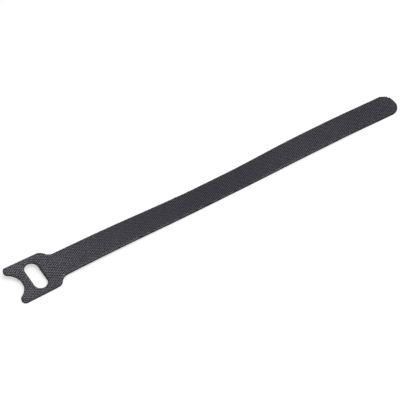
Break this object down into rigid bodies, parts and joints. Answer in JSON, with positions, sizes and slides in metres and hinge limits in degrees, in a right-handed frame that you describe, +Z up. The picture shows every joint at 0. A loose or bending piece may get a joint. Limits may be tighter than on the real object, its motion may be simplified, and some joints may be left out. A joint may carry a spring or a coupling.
{
  "type": "hook and loop cable tie",
  "caption": "Die-cut hook and loop cable tie: a flat strap with a rounded tail, and a wider notched head with a slot that the tail is threaded through.",
  "frame": {"origin": "on the table, midway between the prong tips and the end of the tail, on the strap's middle line", "axes": "+X from the head to the tail, +Y across the strap towards its far edge, +Z up, hook side up"},
  "size_m": [0.2, 0.019, 0.0053],
  "materials": {
    "black_nylon": "matte"
  },
  "bodies": {
    "root": {"tie_strap": "black_nylon"}
  },
  "joints": []
}
